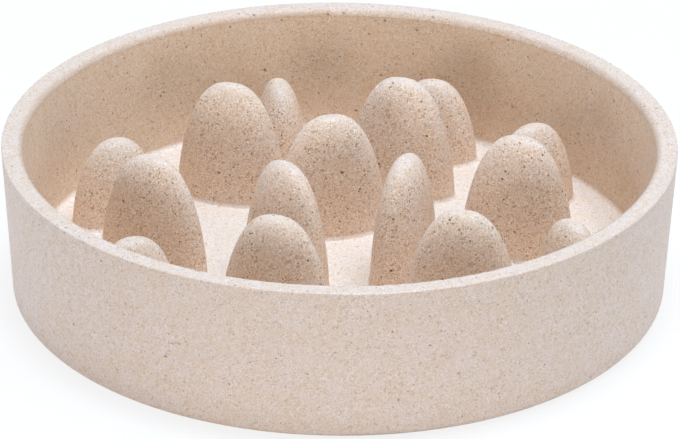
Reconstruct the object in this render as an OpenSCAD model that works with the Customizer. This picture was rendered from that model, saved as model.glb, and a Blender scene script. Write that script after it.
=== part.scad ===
// Slow feeder bowl: a straight-sided round bowl moulded in one with upright petals that the food
// falls between. The petals are cored from below, and rubber feet plug into the underside.
// Millimetres, +Z up. The origin is on the ground under the middle of the bowl.

/* [Bowl] */
// Diameter over the top of the rim
rim_d = 185; // [165:1:230]
// Height of the moulding, from its underside to the rim
bowl_h = 43; // [42:0.5:60]
// Thickness of the wall
wall_t = 5.7; // [4:0.1:7]
// Thickness of the floor
floor_t = 5.6; // [5:0.1:8]
// How far the wall leans in from the rim to the base
wall_lean = 1.95; // [1:0.05:5]
// Radius round the inner edge of the rim
lip_round = 2; // [1:0.1:3]
// Radius round the outer edge of the rim
rim_edge = 0.4; // [0.2:0.1:1]
// Radius round the outer edge of the base
base_round = 1.8; // [0.8:0.1:3]
// Radius where the inside of the wall meets the floor
floor_round = 1.6; // [0.8:0.1:4]

/* [Petals] */
// Length of a tall petal at its root
tall_len = 33; // [28:0.5:36]
// Width of a tall petal at its root
tall_wid = 16.2; // [13:0.1:18]
// Height of a tall petal above the floor
tall_h = 34.8; // [26:0.2:36]
// Length of a short petal at its root
short_len = 27; // [22:0.5:28]
// Width of a short petal at its root
short_wid = 16.4; // [13:0.1:18]
// Height of a short petal above the floor
short_h = 24.3; // [16:0.1:30]
// Radius where a petal grows out of the floor
root_round = 1.6; // [0.8:0.1:2]
// Thickness of a petal's shell over its hollow
shell_t = 4.2; // [3:0.1:5]

/* [Feet] */
// Diameter of a foot's pad
foot_d = 10; // [7:0.5:12]
// How far the feet hold the moulding off the ground
foot_stand = 0.8; // [0.5:0.1:2]
// Depth of the seat that takes a pad
seat_depth = 1.2; // [0.8:0.1:2]
// Distance of a foot's centre from the edge of the base
foot_inset = 8.5; // [7.5:0.1:9]
// Radius round a pad's lower edge
pad_round = 0.5; // [0.2:0.1:0.5]
// Diameter of a foot's peg
peg_d = 4; // [3:0.1:5]
// Length of a foot's peg above its pad
peg_len = 2.8; // [2:0.1:3]

/* [Hidden] */
$fn = 96;
overrun = 1;
// Clearance round a pad, round a peg and over its tip
pad_gap = 0.15;
peg_gap = 0.1;
tip_gap = 0.3;
peg_chamfer = 0.5;
foot_count = 6;
foot_step = 360 / foot_count;

// Share of a petal's half length that its level crown takes, and share of its radius by which the
// root's round dips into floor and flank, so that it runs out on both at a shallow angle
crown_share = 0.14;
root_dip_share = 0.04;

// Where each petal stands: share of the floor's radius, angle round the bowl, turn of its length
tall_shares = [
    [0.212, 98, 12], [0.227, 222, 129], [0.234, 335, 69],
    [0.590, 6, 162], [0.549, 67.5, 159], [0.582, 128.7, 163],
    [0.609, 190.5, 154], [0.562, 250, 159], [0.619, 309, 165]
];
short_shares = [
    [0.771, 32.7, 26], [0.833, 67.2, 167], [0.777, 105.7, 98], [0.792, 159.8, 27],
    [0.783, 214.5, 23], [0.833, 247.2, 167], [0.820, 285.8, 20], [0.800, 337.7, 123]
];

rim_r = rim_d / 2;
base_r = rim_r - wall_lean;
function outside_r(z) = base_r + wall_lean * z / bowl_h;
function inside_r(z) = outside_r(z) - wall_t;
floor_r = inside_r(floor_t);
foot_ring_r = base_r - foot_inset;

// Half length of a petal's outline at a height above the underside
function petal_reach(half, top, z) = half * (crown_share + (1 - crown_share) * sqrt(1 - pow(z / top, 2)));

// What a round takes off an edge, or adds in a corner: a square with a round bite, whose arc has
// its centre at the radius from [0, 0] along both axes, on the sides given by the signs
module bite(radius, side_x, side_y) {
    difference() {
        translate([side_x > 0 ? -overrun : -radius, side_y > 0 ? -overrun : -radius])
            square(radius + overrun);
        translate([side_x * radius, side_y * radius]) circle(r = radius);
    }
}

// Section of the bowl without its petals
module bowl_section() {
    difference() {
        polygon([
            [0, 0], [base_r, 0], [rim_r, bowl_h], [inside_r(bowl_h), bowl_h],
            [floor_r, floor_t], [0, floor_t]
        ]);
        translate([outside_r(base_round), 0]) bite(base_round, -1, 1);
        translate([inside_r(bowl_h - lip_round), bowl_h]) bite(lip_round, 1, -1);
        translate([outside_r(bowl_h - rim_edge), bowl_h]) bite(rim_edge, -1, -1);
    }
    translate([inside_r(floor_t + floor_round), floor_t]) bite(floor_round, -1, 1);
}

// Half section of a petal's form along its length: an elliptic flank under a level crown, mirrored
// below the underside so that the form closes on itself
module dome_section(half, top) {
    crown = half * crown_share;
    intersection() {
        union() {
            translate([crown, 0]) scale([half - crown, top]) circle(r = 1);
            translate([0, -top]) square([crown, 2 * top]);
        }
        translate([0, -top - overrun]) square([half + overrun, 2 * (top + overrun)]);
    }
}

module petal(len, wid, high) {
    half = len / 2;
    top = floor_t + high;
    root_reach = root_round * (1 - root_dip_share);
    root_z = floor_t + root_reach;
    root_x = petal_reach(half, top, root_z) + root_reach;
    intersection() {
        scale([1, wid / len, 1]) rotate_extrude() {
            dome_section(half, top);
            difference() {
                square([root_x, root_z]);
                translate([root_x, root_z]) circle(r = root_round);
            }
        }
        translate([-len, -len, floor_t / 2]) cube([2 * len, 2 * len, top]);
    }
}

module petal_core(len, wid, high) {
    half = len / 2 - shell_t;
    scale([1, (wid / 2 - shell_t) / half, 1])
        rotate_extrude() dome_section(half, floor_t + high - shell_t);
}

module in_places(shares) {
    for (place = shares)
        rotate(place[1]) translate([place[0] * floor_r, 0, 0]) rotate(place[2] - place[1]) children();
}

module foot_seat() {
    translate([0, 0, -overrun]) cylinder(d = foot_d + 2 * pad_gap, h = seat_depth + overrun);
    cylinder(d = peg_d + 2 * peg_gap, h = seat_depth + peg_len + tip_gap);
}

module bowl() {
    color([0.86, 0.80, 0.73]) translate([0, 0, foot_stand]) difference() {
        union() {
            rotate_extrude() bowl_section();
            in_places(tall_shares) petal(tall_len, tall_wid, tall_h);
            in_places(short_shares) petal(short_len, short_wid, short_h);
        }
        in_places(tall_shares) petal_core(tall_len, tall_wid, tall_h);
        in_places(short_shares) petal_core(short_len, short_wid, short_h);
        for (i = [0 : foot_count - 1])
            rotate(i * foot_step) translate([foot_ring_r, 0, 0]) foot_seat();
    }
}

// One rubber foot: a pad with a round lower edge and a peg with a chamfered tip
module foot(i) {
    pad_h = foot_stand + seat_depth;
    color([0.25, 0.25, 0.26]) rotate(i * foot_step) translate([foot_ring_r, 0, 0]) {
        rotate_extrude() difference() {
            square([foot_d / 2, pad_h]);
            translate([foot_d / 2, 0]) bite(pad_round, -1, 1);
        }
        translate([0, 0, pad_h]) cylinder(d = peg_d, h = peg_len - peg_chamfer);
        translate([0, 0, pad_h + peg_len - peg_chamfer])
            cylinder(d1 = peg_d, d2 = peg_d - 2 * peg_chamfer, h = peg_chamfer);
    }
}

module foot_1() { foot(0); }
module foot_2() { foot(1); }
module foot_3() { foot(2); }
module foot_4() { foot(3); }
module foot_5() { foot(4); }
module foot_6() { foot(5); }

bowl();
foot_1();
foot_2();
foot_3();
foot_4();
foot_5();
foot_6();
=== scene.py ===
# Looks of the slow feeder bowl: its materials, the floor, the lamps and the photograph's camera

import math

import bpy
from mathutils import Matrix, Vector


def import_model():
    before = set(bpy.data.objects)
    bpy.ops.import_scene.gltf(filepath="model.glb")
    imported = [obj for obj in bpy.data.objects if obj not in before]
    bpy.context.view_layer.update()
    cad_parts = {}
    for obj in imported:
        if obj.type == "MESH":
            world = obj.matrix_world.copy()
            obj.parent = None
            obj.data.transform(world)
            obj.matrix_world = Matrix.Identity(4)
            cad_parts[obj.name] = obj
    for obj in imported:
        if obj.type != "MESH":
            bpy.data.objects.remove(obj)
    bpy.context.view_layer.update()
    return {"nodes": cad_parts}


MM_PER_M = 1000.0
WHITE = (1.0, 1.0, 1.0)

# Colours are linear
BASE_PALE = (0.785, 0.620, 0.515)
BASE_WARM = (0.765, 0.575, 0.435)
HUSK_COLOUR = (0.580, 0.345, 0.175)
FLAKE_DARK = (0.170, 0.078, 0.028)
FLAKE_BROWN = (0.315, 0.165, 0.070)
FLAKE_TAN = (0.470, 0.290, 0.160)
RUBBER_DARK = (0.045, 0.045, 0.048)
RUBBER_PALE = (0.075, 0.075, 0.078)

# How far the grain goes lighter and darker, as a share of each channel
GRAIN_DEPTH = (0.28, 0.37, 0.46)

# How painted light and shade inside the bowl differ from the base colour, as a share of each channel
# Painted light: the petals' flanks lighter and a little warmer, fading towards their crowns
PAINTED_FLANK_LIGHT = (0.115, 0.105, 0.060)
# Painted light: the floor inside the bowl paler and cooler, as in cool light from overhead
PAINTED_FLOOR_LIGHT = (0.03, 0.09, 0.13)
# Painted shade: the inside of the wall warmer, as in the bowl's shade
PAINTED_WALL_SHADE = (0.045, 0.030, -0.060)
# Painted shade: the round of the lip darker
PAINTED_LIP_SHADE = (-0.150, -0.175, -0.145)

# Noises: scale is per millimetre. The warp bends the grain and the specks by up to WARP_MM along
# each axis
WARP = {"scale": 1.9, "detail": 1.0}
WARP_MM = 0.42
CROWDS = {"scale": 0.32, "detail": 1.0}
CLOUDS = {"scale": 0.14, "detail": 3.0, "rough": 0.55}
PATCHES = {"scale": 0.60, "detail": 3.0, "rough": 0.6}
GRAIN = {"scale": 2.3, "detail": 2.0, "rough": 0.65}
SKIN = {"scale": 5.5, "detail": 2.0, "rough": 0.6}
RUBBER_BLOOM = {"scale": 0.9, "detail": 3.0}
RUBBER_GRAIN = {"scale": 6.0, "detail": 2.0}

# Which part of an input's values is spread over which output. The input of FLANK is how far the
# surface faces up, and the others' inputs come from noises
CROWDING = {"low": 0.35, "high": 0.65, "out_low": 0.75, "out_high": 1.25}
FLANK = {"low": 0.35, "high": 0.90, "out_low": 1.0, "out_high": 0.25}
TWO_TONES = {"low": 0.40, "high": 0.60}
GRAIN_SWING = {"low": 0.30, "high": 0.70, "out_low": -0.9, "out_high": 0.9, "curve": "LINEAR"}
ROUGHNESS = {"low": 0.3, "high": 0.7, "out_low": 0.50, "out_high": 0.62}
BLOOM_TONES = {"low": 0.35, "high": 0.65}
RUBBER_ROUGHNESS = {"low": 0.3, "high": 0.7, "out_low": 0.62, "out_high": 0.78}

# Share of the base colour's tone that comes from large clouds, and how much duller the flakes are
CLOUD_SHARE = 0.30
FLAKE_DULLNESS = 0.12

# Relief too fine to model: strength, and depth in metres
SKIN_RELIEF = {"strength": 0.10, "distance": 0.0001}
PATCH_RELIEF = {"strength": 0.12, "distance": 0.0003}
FLAKE_RELIEF = {"strength": 0.12, "distance": 0.0001}
RUBBER_RELIEF = {"strength": 0.25, "distance": 0.0001}

# Specks: size of a cell and a speck's least and most reach in millimetres, the share of the cells
# that have one, and how much of the reach is soft edge
HUSK_A = {"cell": 1.45, "share": 0.62, "least": 0.20, "most": 0.52, "soft": 0.45}
HUSK_B = {**HUSK_A, "cell": 1.60}
SMALL_FLAKES = {"cell": 0.62, "share": 0.50, "least": 0.12, "most": 0.25, "soft": 0.45}
BROWN_FLAKES = {"cell": 1.20, "share": 0.42, "least": 0.15, "most": 0.33, "soft": 0.40}
LARGE_FLAKES = {"cell": 2.4, "share": 0.45, "least": 0.22, "most": 0.46, "soft": 0.40}

# How the long specks lie: their turn in radians, and their stretch along each axis
HUSK_A_LIE = {"angles": (0.5, 0.9, 0.3), "scale": (1.0, 1.0, 2.4)}
HUSK_B_LIE = {"angles": (1.3, -0.6, 1.9), "scale": (1.0, 2.2, 1.0)}
LARGE_LIE = {"angles": (0.2, 0.4, 1.1), "scale": (1.0, 1.45, 1.0)}

# How strongly each kind of speck covers what is under it
HUSK_COVER = 0.60
SMALL_COVER = 0.72
BROWN_COVER = 0.85
LARGE_COVER = 0.95

# How strongly grain and specks show on rim, floor and outside, and what flanks and inner wall add;
# the flanks' share fading towards the crowns is a painted highlight
SHOW_PLAIN = 0.56
SHOW_FLANK = 0.48
SHOW_WALL = 0.10

# Where one zone of the bowl gives way to the next, in millimetres: a name with Z is a height above
# the ground, and one with R a distance from the axis
FLOOR_TO_PETAL_Z = {"start": 6.4, "width": 3.0}
FLOOR_TO_ROUND_Z = {"start": 6.7, "width": 1.3}
FLOOR_TO_WALL_R = {"start": 85.0, "width": 1.0}
PETAL_TO_WALL_R = {"start": 79.0, "width": 2.0}
WALL_TO_RIM_R = {"start": 87.0, "width": 1.5}
WALL_TO_LIP_Z = {"start": 41.4, "width": 0.8}
LIP_TO_RIM_R = {"start": 87.2, "width": 1.4}

# Stage: the floor's half side in metres, its colour, and how white the camera sees it
STAGE_REACH = 3.0
STAGE_COLOUR = (0.86, 0.86, 0.86)
STAGE_WHITE = 0.85

# Light: dim from all round, cool overhead, at the sides and behind, neutral in front
SKY_LIGHT = (0.96, 1.0, 0.98)
SKY_STRENGTH = 0.155
TOP_LIGHT = (0.83, 1.00, 1.21)
SIDE_LIGHT = (0.78, 1.00, 1.42)
FRONT_LIGHT = (1.01, 0.99, 1.00)

# Photograph's frame and camera, from the fit of the rim and the base. Where a name gives no unit,
# distances are in metres and angles in radians
FRAME_W = 680
FOCAL_PX = 3522.0
PRINCIPAL_X = 338.86
SENSOR_MM = 36.0
CAM_DISTANCE = 0.9772
CAM_ELEVATION = 0.4673
CAM_ROLL = 0.0088
LOOK_AT = Vector((0.0, 0.0, 0.0180))

# Places of a mix node's sockets for colours
MIX_SHARE = 0
MIX_UNDER = 6
MIX_OVER = 7
MIX_RESULT = 2


def new_material(name):
    mat = bpy.data.materials.new(name)
    mat.use_nodes = True
    mat.node_tree.nodes.clear()
    return mat


def in_scene(name, data):
    """Makes an object and puts it in the scene."""
    obj = bpy.data.objects.new(name, data)
    bpy.context.scene.collection.objects.link(obj)
    return obj


class Graph:
    """A short way to add nodes to a node tree and link them."""

    def __init__(self, tree):
        self.nodes = tree.nodes
        self.links = tree.links

    def add(self, kind, **settings):
        node = self.nodes.new(kind)
        for key, value in settings.items():
            setattr(node, key, value)
        return node

    def plug(self, socket, value):
        """Links a socket to another one, or sets its value."""
        if isinstance(value, bpy.types.NodeSocket):
            self.links.new(value, socket)
        elif isinstance(value, tuple) and len(value) == 3 and socket.type == "RGBA":
            socket.default_value = (*value, 1.0)
        else:
            socket.default_value = value

    def math(self, operation, *values):
        node = self.add("ShaderNodeMath", operation=operation)
        for socket, value in zip(node.inputs, values):
            self.plug(socket, value)
        return node.outputs[0]

    def product(self, first, *others):
        for other in others:
            first = self.math("MULTIPLY", first, other)
        return first

    def vector(self, operation, *values):
        node = self.add("ShaderNodeVectorMath", operation=operation)
        for socket, value in zip(node.inputs, values):
            self.plug(socket, value)
        return node.outputs[0]

    def split_vector(self, vector):
        node = self.add("ShaderNodeSeparateXYZ")
        self.plug(node.inputs[0], vector)
        return node.outputs[:3]

    def split_colour(self, colour):
        node = self.add("ShaderNodeSeparateColor")
        self.plug(node.inputs[0], colour)
        return node.outputs[:3]

    def millimetres(self, coords):
        node = self.add("ShaderNodeMapping")
        self.plug(node.inputs["Vector"], coords.outputs["Object"])
        node.inputs["Scale"].default_value = (MM_PER_M, MM_PER_M, MM_PER_M)
        return node.outputs[0]

    def turned(self, vector, angles, scale):
        node = self.add("ShaderNodeMapping", vector_type="TEXTURE")
        self.plug(node.inputs["Vector"], vector)
        node.inputs["Rotation"].default_value = angles
        node.inputs["Scale"].default_value = scale
        return node.outputs[0]

    def noise(self, vector, scale, detail, rough=0.5, output="Fac"):
        node = self.add("ShaderNodeTexNoise", noise_dimensions="3D")
        self.plug(node.inputs["Vector"], vector)
        node.inputs["Scale"].default_value = scale
        node.inputs["Detail"].default_value = detail
        node.inputs["Roughness"].default_value = rough
        return node.outputs[output]

    def cells(self, vector, scale):
        """Distance to the nearest cell centre, and a random colour for the cell."""
        node = self.add("ShaderNodeTexVoronoi", voronoi_dimensions="3D", feature="F1")
        self.plug(node.inputs["Vector"], vector)
        node.inputs["Scale"].default_value = scale
        node.inputs["Randomness"].default_value = 1.0
        return node.outputs["Distance"], node.outputs["Color"]

    def remap(self, value, low, high, out_low=0.0, out_high=1.0, curve="SMOOTHSTEP"):
        node = self.add("ShaderNodeMapRange", interpolation_type=curve)
        self.plug(node.inputs["Value"], value)
        self.plug(node.inputs["From Min"], low)
        self.plug(node.inputs["From Max"], high)
        self.plug(node.inputs["To Min"], out_low)
        self.plug(node.inputs["To Max"], out_high)
        return node.outputs["Result"]

    def rise(self, value, start, width):
        """From 0 to 1 over a width."""
        return self.remap(value, start, start + width)

    def fall(self, value, start, width):
        """From 1 to 0 over a width."""
        return self.remap(value, start, start + width, 1.0, 0.0)

    def mix(self, share, under, over):
        node = self.add("ShaderNodeMix", data_type="RGBA")
        self.plug(node.inputs[MIX_SHARE], share)
        self.plug(node.inputs[MIX_UNDER], under)
        self.plug(node.inputs[MIX_OVER], over)
        return node.outputs[MIX_RESULT]

    def bump(self, height, strength, distance, normal=None):
        node = self.add("ShaderNodeBump")
        node.inputs["Strength"].default_value = strength
        node.inputs["Distance"].default_value = distance
        self.plug(node.inputs["Height"], height)
        if normal is not None:
            self.plug(node.inputs["Normal"], normal)
        return node.outputs[0]

    def surface(self, colour, roughness, normal, specular):
        shader = self.add("ShaderNodeBsdfPrincipled")
        self.plug(shader.inputs["Base Color"], colour)
        self.plug(shader.inputs["Roughness"], roughness)
        self.plug(shader.inputs["Normal"], normal)
        shader.inputs["Specular IOR Level"].default_value = specular
        out = self.add("ShaderNodeOutputMaterial")
        self.plug(out.inputs["Surface"], shader.outputs[0])

    def glow(self, kind, colour, strength):
        """An emission or a background."""
        node = self.add(kind)
        self.plug(node.inputs["Color"], colour)
        self.plug(node.inputs["Strength"], strength)
        return node.outputs[0]

    def mix_shaders(self, share, under, over):
        node = self.add("ShaderNodeMixShader")
        self.plug(node.inputs[0], share)
        self.plug(node.inputs[1], under)
        self.plug(node.inputs[2], over)
        return node.outputs[0]


def specks(g, where, cell, share, least, most, soft):
    """Mask of specks with a random reach, one in each of a share of the cells, and a random tone."""
    distance, colour = g.cells(where, 1.0 / cell)
    pick, size, tone = g.split_colour(colour)
    there = g.math("LESS_THAN", pick, share)
    reach = g.remap(size, 0.0, 1.0, least / cell, most / cell, curve="LINEAR")
    mask = g.remap(distance, g.product(reach, 1.0 - soft), reach, 1.0, 0.0)
    return g.product(mask, there), tone


def zones(g, mm):
    """Masks of the petals, the floor, the inside of the wall, and the round of its lip."""
    x, y, z = g.split_vector(mm)
    radius = g.math("SQRT", g.math("ADD", g.product(x, x), g.product(y, y)))
    above = g.rise(z, **FLOOR_TO_PETAL_Z)
    on_petal = g.product(g.fall(radius, **PETAL_TO_WALL_R), above)
    on_floor = g.product(g.fall(z, **FLOOR_TO_ROUND_Z), g.fall(radius, **FLOOR_TO_WALL_R))
    on_wall = g.product(g.rise(radius, **PETAL_TO_WALL_R), g.fall(radius, **WALL_TO_RIM_R), above)
    on_lip = g.product(g.rise(z, **WALL_TO_LIP_Z), g.fall(radius, **LIP_TO_RIM_R))
    return on_petal, on_floor, on_wall, on_lip


def with_flakes(g, colour, flakes, show, cover, dark, pale):
    """Lays flakes over a colour, each with its own tone between a dark and a pale one."""
    mask, tone = flakes
    return g.mix(g.product(mask, show, cover), colour, g.mix(tone, dark, pale))


def composite_material():
    mat = new_material("plant_fibre_composite")
    g = Graph(mat.node_tree)
    coords = g.add("ShaderNodeTexCoord")
    mm = g.millimetres(coords)
    on_petal, on_floor, on_wall, on_lip = zones(g, mm)
    facing_up = g.split_vector(coords.outputs["Normal"])[2]
    on_flank = g.product(on_petal, g.remap(facing_up, **FLANK))

    # How strongly grain and specks show: most on the petals' flanks and less towards their crowns,
    # as a painted highlight there, and unevenly everywhere
    show = g.math("MULTIPLY_ADD", on_flank, SHOW_FLANK, SHOW_PLAIN)
    show = g.math("MULTIPLY_ADD", on_wall, SHOW_WALL, show)
    show = g.product(show, g.remap(g.noise(mm, **CROWDS), **CROWDING))

    # Base colour, in clouds and patches of two tones
    cloud = g.noise(mm, **CLOUDS)
    patch = g.noise(mm, **PATCHES)
    tone = g.math("ADD", g.product(cloud, CLOUD_SHARE), g.product(patch, 1.0 - CLOUD_SHARE))
    colour = g.mix(g.remap(tone, **TWO_TONES), BASE_PALE, BASE_WARM)
    # Painted light and shade: flanks lighter and warmer, floor paler and cooler, inner wall warmer,
    # lip's round darker
    painted_light_and_shade = WHITE
    for zone, zone_light_and_shade in ((on_flank, PAINTED_FLANK_LIGHT), (on_floor, PAINTED_FLOOR_LIGHT),
                             (on_wall, PAINTED_WALL_SHADE), (on_lip, PAINTED_LIP_SHADE)):
        painted_light_and_shade = g.vector("MULTIPLY_ADD", zone, zone_light_and_shade, painted_light_and_shade)
    colour = g.vector("MULTIPLY", colour, painted_light_and_shade)

    # Grain all over, lighter and darker, uneven in outline
    warp = g.noise(mm, **WARP, output="Color")
    bent = g.vector("MULTIPLY_ADD", warp, (WARP_MM, WARP_MM, WARP_MM), mm)
    swing = g.remap(g.noise(bent, **GRAIN), **GRAIN_SWING)
    level = g.vector("MULTIPLY_ADD", g.product(swing, show), GRAIN_DEPTH, WHITE)
    colour = g.vector("MULTIPLY", colour, level)

    # Husk: short tan slivers, lying two ways
    husk_a = specks(g, g.turned(bent, **HUSK_A_LIE), **HUSK_A)[0]
    husk_b = specks(g, g.turned(bent, **HUSK_B_LIE), **HUSK_B)[0]
    husk = g.math("MAXIMUM", husk_a, husk_b)
    colour = g.mix(g.product(husk, show, HUSK_COVER), colour, HUSK_COLOUR)

    # Small tan flakes, fewer brown ones, and a few large dark ones
    small = specks(g, bent, **SMALL_FLAKES)
    brown = specks(g, bent, **BROWN_FLAKES)
    large = specks(g, g.turned(bent, **LARGE_LIE), **LARGE_FLAKES)
    colour = with_flakes(g, colour, small, show, SMALL_COVER, FLAKE_BROWN, FLAKE_TAN)
    colour = with_flakes(g, colour, brown, show, BROWN_COVER, FLAKE_DARK, FLAKE_BROWN)
    colour = with_flakes(g, colour, large, show, LARGE_COVER, FLAKE_DARK, FLAKE_BROWN)

    # Flakes are duller than the rest, and lie a little deeper in a finely uneven skin
    flakes = g.math("MAXIMUM", brown[0], large[0])
    rough = g.math("ADD", g.remap(patch, **ROUGHNESS), g.product(flakes, FLAKE_DULLNESS))
    fine = g.bump(g.noise(mm, **SKIN), **SKIN_RELIEF)
    wavy = g.bump(patch, **PATCH_RELIEF, normal=fine)
    pitted = g.bump(g.math("SUBTRACT", 1.0, flakes), **FLAKE_RELIEF, normal=wavy)
    g.surface(colour, rough, pitted, specular=0.50)
    return mat


def rubber_material():
    mat = new_material("foot_rubber")
    g = Graph(mat.node_tree)
    mm = g.millimetres(g.add("ShaderNodeTexCoord"))
    bloom = g.noise(mm, **RUBBER_BLOOM)
    colour = g.mix(g.remap(bloom, **BLOOM_TONES), RUBBER_DARK, RUBBER_PALE)
    rough = g.remap(bloom, **RUBBER_ROUGHNESS)
    grain = g.bump(g.noise(mm, **RUBBER_GRAIN), **RUBBER_RELIEF)
    g.surface(colour, rough, grain, specular=0.35)
    return mat


def floor_material():
    """A pale matt floor that the camera sees nearly white, and a reflection sees white."""
    mat = new_material("pale_floor")
    g = Graph(mat.node_tree)
    matt = g.add("ShaderNodeBsdfDiffuse")
    g.plug(matt.inputs["Color"], STAGE_COLOUR)
    path = g.add("ShaderNodeLightPath")
    seen = g.product(path.outputs["Is Camera Ray"], STAGE_WHITE)
    seen = g.math("MAXIMUM", seen, path.outputs["Is Glossy Ray"])
    seen = g.math("MAXIMUM", seen, path.outputs["Is Transmission Ray"])
    glow = g.glow("ShaderNodeEmission", WHITE, 1.0)
    out = g.add("ShaderNodeOutputMaterial")
    g.plug(out.inputs["Surface"], g.mix_shaders(seen, matt.outputs[0], glow))
    return mat


def floor():
    reach = STAGE_REACH
    corners = [(-reach, -reach, 0), (reach, -reach, 0), (reach, reach, 0), (-reach, reach, 0)]
    mesh = bpy.data.meshes.new("floor")
    mesh.from_pydata(corners, [], [(0, 1, 2, 3)])
    mesh.materials.append(floor_material())
    obj = in_scene("floor", mesh)


def world():
    """Dim even light from all round, which the camera sees as white."""
    scene = bpy.context.scene
    scene.world = scene.world or bpy.data.worlds.new("world")
    scene.world.use_nodes = True
    scene.world.node_tree.nodes.clear()
    g = Graph(scene.world.node_tree)
    light = g.glow("ShaderNodeBackground", SKY_LIGHT, SKY_STRENGTH)
    white = g.glow("ShaderNodeBackground", WHITE, 1.0)
    path = g.add("ShaderNodeLightPath")
    out = g.add("ShaderNodeOutputWorld")
    g.plug(out.inputs["Surface"], g.mix_shaders(path.outputs["Is Camera Ray"], light, white))


def area_light(name, place, size, power, colour):
    data = bpy.data.lights.new(name, "AREA")
    data.shape = "SQUARE"
    data.size = size
    data.energy = power
    data.color = colour
    obj = in_scene(name, data)
    obj.location = place
    aim = LOOK_AT - Vector(place)
    obj.rotation_euler = aim.to_track_quat("-Z", "Y").to_euler()


def lamps():
    """Two lamps overhead, two low ones in front, two at the sides, and a weak one behind."""
    area_light("top", (0.0, 0.0, 1.5), size=0.30, power=14.7, colour=TOP_LIGHT)
    area_light("top_right", (0.35, 0.0, 1.1), size=0.40, power=4.9, colour=TOP_LIGHT)
    # The two in front cast the petals' shadows on the inside of the far wall
    area_light("front_left", (-0.65, -1.126, 0.20), size=0.34, power=3.45, colour=FRONT_LIGHT)
    area_light("front_right", (0.65, -1.126, 0.20), size=0.34, power=2.4, colour=FRONT_LIGHT)
    area_light("left", (-0.93, 0.45, 0.22), size=0.40, power=2.25, colour=SIDE_LIGHT)
    area_light("right", (0.93, 0.45, 0.22), size=0.40, power=1.6, colour=SIDE_LIGHT)
    area_light("back", (0.0, 1.25, 0.35), size=0.60, power=1.0, colour=SIDE_LIGHT)


def camera():
    data = bpy.data.cameras.new("camera")
    data.sensor_fit = "HORIZONTAL"
    data.sensor_width = SENSOR_MM
    data.lens = FOCAL_PX * SENSOR_MM / FRAME_W
    data.shift_x = (FRAME_W / 2 - PRINCIPAL_X) / FRAME_W
    obj = in_scene("camera", data)
    back = Vector((0.0, -math.cos(CAM_ELEVATION), math.sin(CAM_ELEVATION)))
    place = LOOK_AT + CAM_DISTANCE * back
    tilt = Matrix.Rotation(math.pi / 2 - CAM_ELEVATION, 4, "X")
    roll = Matrix.Rotation(CAM_ROLL, 4, "Z")
    obj.matrix_world = Matrix.Translation(place) @ (tilt @ roll)
    bpy.context.scene.camera = obj


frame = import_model()
bpy.context.scene.view_settings.view_transform = "Standard"

composite = composite_material()
rubber = rubber_material()
for name, node in frame["nodes"].items():
    node.data.materials.clear()
    node.data.materials.append(composite if name == "bowl" else rubber)

floor()
world()
lamps()
camera()
